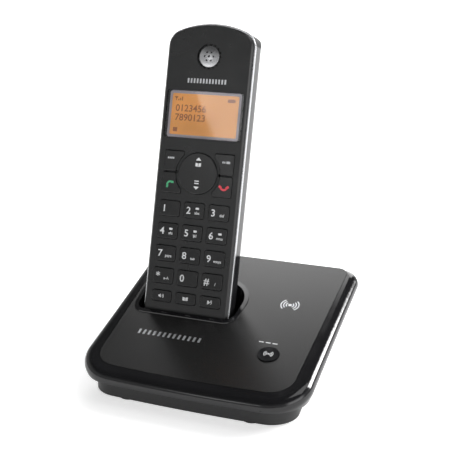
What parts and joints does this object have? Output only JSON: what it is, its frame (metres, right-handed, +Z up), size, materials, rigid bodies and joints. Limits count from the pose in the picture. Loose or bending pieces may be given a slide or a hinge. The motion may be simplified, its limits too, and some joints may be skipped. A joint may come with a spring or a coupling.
{
  "type": "cordless telephone with charging base",
  "caption": "Slim cordless handset with lit display and keypad, standing in a wedge-shaped charging base with a page button.",
  "frame": {"origin": "on the desk, under the middle of the base", "axes": "+X to the right, +Y to the back of the base, +Z up; the handset stands in its cradle at rest"},
  "size_m": [0.1194, 0.1112, 0.1722],
  "materials": {
    "face_plastic": "satin black moulded plastic",
    "gloss_black": "polished black moulded plastic",
    "deck_black": "polished black plate",
    "silver_trim": "satin silver plated plastic",
    "key_plastic": "black keys with pale printed legends",
    "window": "clear hard-coated window",
    "lcd": "amber backlit liquid crystal display",
    "clear_guide": "milky light guide",
    "dark_plastic": "fine spark-textured black plastic",
    "circuit_board": "green solder mask",
    "steel": "zinc plated",
    "contact_metal": "gold plated",
    "mat_rubber": "translucent silicone",
    "foot_rubber": "matt black rubber",
    "socket_plastic": "moulded black plastic",
    "cell_sleeve": "printed green sleeve"
  },
  "bodies": {
    "base": {"base_upper_shell": "gloss_black", "deck_plate": "deck_black", "base_bottom_cover": "dark_plastic", "cradle_cup": "gloss_black", "base_circuit_board": "circuit_board", "line_socket": "socket_plastic", "power_socket": "socket_plastic", "base_screws": "steel", "rubber_feet": "foot_rubber", "base_antenna": "contact_metal", "contact_carrier": "dark_plastic", "page_switch": "dark_plastic"},
    "handset": {"handset_front_shell": "face_plastic", "handset_trim_band": "silver_trim", "handset_rear_shell": "gloss_black", "display_window": "window", "lcd_module": "lcd", "lcd_light_guide": "clear_guide", "earpiece_badge": "silver_trim", "earpiece_speaker": "dark_plastic", "handset_circuit_board": "circuit_board", "radio_shield": "steel", "microphone": "steel", "ringer_speaker": "dark_plastic", "keypad_mat": "mat_rubber", "battery_cell_left": "cell_sleeve", "battery_cell_right": "cell_sleeve", "battery_tray": "dark_plastic", "battery_contacts": "steel", "handset_charge_pads": "contact_metal", "handset_antenna": "contact_metal", "handset_screws": "steel"},
    "battery_door": {"battery_door": "gloss_black"},
    "page_button": {"page_button": "gloss_black"},
    "base_contact_left": {"base_contact_left": "contact_metal"},
    "base_contact_right": {"base_contact_right": "contact_metal"},
    "key_star": {"key_star": "key_plastic"},
    "key_0": {"key_0": "key_plastic"},
    "key_hash": {"key_hash": "key_plastic"},
    "key_7": {"key_7": "key_plastic"},
    "key_8": {"key_8": "key_plastic"},
    "key_9": {"key_9": "key_plastic"},
    "key_4": {"key_4": "key_plastic"},
    "key_5": {"key_5": "key_plastic"},
    "key_6": {"key_6": "key_plastic"},
    "key_1": {"key_1": "key_plastic"},
    "key_2": {"key_2": "key_plastic"},
    "key_3": {"key_3": "key_plastic"},
    "key_speaker": {"key_speaker": "key_plastic"},
    "key_phonebook": {"key_phonebook": "key_plastic"},
    "key_mute": {"key_mute": "key_plastic"},
    "key_menu": {"key_menu": "key_plastic"},
    "key_talk": {"key_talk": "key_plastic"},
    "key_clear": {"key_clear": "key_plastic"},
    "key_end": {"key_end": "key_plastic"},
    "key_navigation": {"key_navigation": "key_plastic"}
  },
  "joints": [
    {"name": "handset_lift", "type": "slide", "parent": "base", "child": "handset", "axis": [0, 0.2756, 0.9613], "range_m": [0, 0.06]},
    {"name": "key_star_press", "type": "slide", "parent": "handset", "child": "key_star", "axis": [0, 0.9613, -0.2756], "range_m": [0, 0.0006], "stiffness_N_per_m": 300},
    {"name": "key_0_press", "type": "slide", "parent": "handset", "child": "key_0", "axis": [0, 0.9613, -0.2756], "range_m": [0, 0.0006], "stiffness_N_per_m": 300},
    {"name": "key_hash_press", "type": "slide", "parent": "handset", "child": "key_hash", "axis": [0, 0.9613, -0.2756], "range_m": [0, 0.0006], "stiffness_N_per_m": 300},
    {"name": "key_7_press", "type": "slide", "parent": "handset", "child": "key_7", "axis": [0, 0.9613, -0.2756], "range_m": [0, 0.0006], "stiffness_N_per_m": 300},
    {"name": "key_8_press", "type": "slide", "parent": "handset", "child": "key_8", "axis": [0, 0.9613, -0.2756], "range_m": [0, 0.0006], "stiffness_N_per_m": 300},
    {"name": "key_9_press", "type": "slide", "parent": "handset", "child": "key_9", "axis": [0, 0.9613, -0.2756], "range_m": [0, 0.0006], "stiffness_N_per_m": 300},
    {"name": "key_4_press", "type": "slide", "parent": "handset", "child": "key_4", "axis": [0, 0.9613, -0.2756], "range_m": [0, 0.0006], "stiffness_N_per_m": 300},
    {"name": "key_5_press", "type": "slide", "parent": "handset", "child": "key_5", "axis": [0, 0.9613, -0.2756], "range_m": [0, 0.0006], "stiffness_N_per_m": 300},
    {"name": "key_6_press", "type": "slide", "parent": "handset", "child": "key_6", "axis": [0, 0.9613, -0.2756], "range_m": [0, 0.0006], "stiffness_N_per_m": 300},
    {"name": "key_1_press", "type": "slide", "parent": "handset", "child": "key_1", "axis": [0, 0.9613, -0.2756], "range_m": [0, 0.0006], "stiffness_N_per_m": 300},
    {"name": "key_2_press", "type": "slide", "parent": "handset", "child": "key_2", "axis": [0, 0.9613, -0.2756], "range_m": [0, 0.0006], "stiffness_N_per_m": 300},
    {"name": "key_3_press", "type": "slide", "parent": "handset", "child": "key_3", "axis": [0, 0.9613, -0.2756], "range_m": [0, 0.0006], "stiffness_N_per_m": 300},
    {"name": "key_speaker_press", "type": "slide", "parent": "handset", "child": "key_speaker", "axis": [0, 0.9613, -0.2756], "range_m": [0, 0.0006], "stiffness_N_per_m": 300},
    {"name": "key_phonebook_press", "type": "slide", "parent": "handset", "child": "key_phonebook", "axis": [0, 0.9613, -0.2756], "range_m": [0, 0.0006], "stiffness_N_per_m": 300},
    {"name": "key_mute_press", "type": "slide", "parent": "handset", "child": "key_mute", "axis": [0, 0.9613, -0.2756], "range_m": [0, 0.0006], "stiffness_N_per_m": 300},
    {"name": "key_menu_press", "type": "slide", "parent": "handset", "child": "key_menu", "axis": [0, 0.9613, -0.2756], "range_m": [0, 0.0006], "stiffness_N_per_m": 300},
    {"name": "key_talk_press", "type": "slide", "parent": "handset", "child": "key_talk", "axis": [0, 0.9613, -0.2756], "range_m": [0, 0.0006], "stiffness_N_per_m": 300},
    {"name": "key_clear_press", "type": "slide", "parent": "handset", "child": "key_clear", "axis": [0, 0.9613, -0.2756], "range_m": [0, 0.0006], "stiffness_N_per_m": 300},
    {"name": "key_end_press", "type": "slide", "parent": "handset", "child": "key_end", "axis": [0, 0.9613, -0.2756], "range_m": [0, 0.0006], "stiffness_N_per_m": 300},
    {"name": "key_navigation_rock", "type": "hinge", "parent": "handset", "child": "key_navigation", "pos_m": [-0.0206, 0.02093, 0.09748], "axis": [1, 0, 0], "range_deg": [-2, 2], "stiffness_Nm_per_rad": 0.05},
    {"name": "battery_door_off", "type": "slide", "parent": "handset", "child": "battery_door", "axis": [0, 0.9613, -0.2756], "range_m": [0, 0.012]},
    {"name": "page_button_press", "type": "slide", "parent": "base", "child": "page_button", "axis": [0, 0.2672, -0.9636], "range_m": [0, 0.0008], "stiffness_N_per_m": 300},
    {"name": "base_contact_left_press", "type": "slide", "parent": "base", "child": "base_contact_left", "axis": [0, -0.2756, -0.9613], "range_m": [0, 0.0008], "stiffness_N_per_m": 200},
    {"name": "base_contact_right_press", "type": "slide", "parent": "base", "child": "base_contact_right", "axis": [0, -0.2756, -0.9613], "range_m": [0, 0.0008], "stiffness_N_per_m": 200}
  ]
}
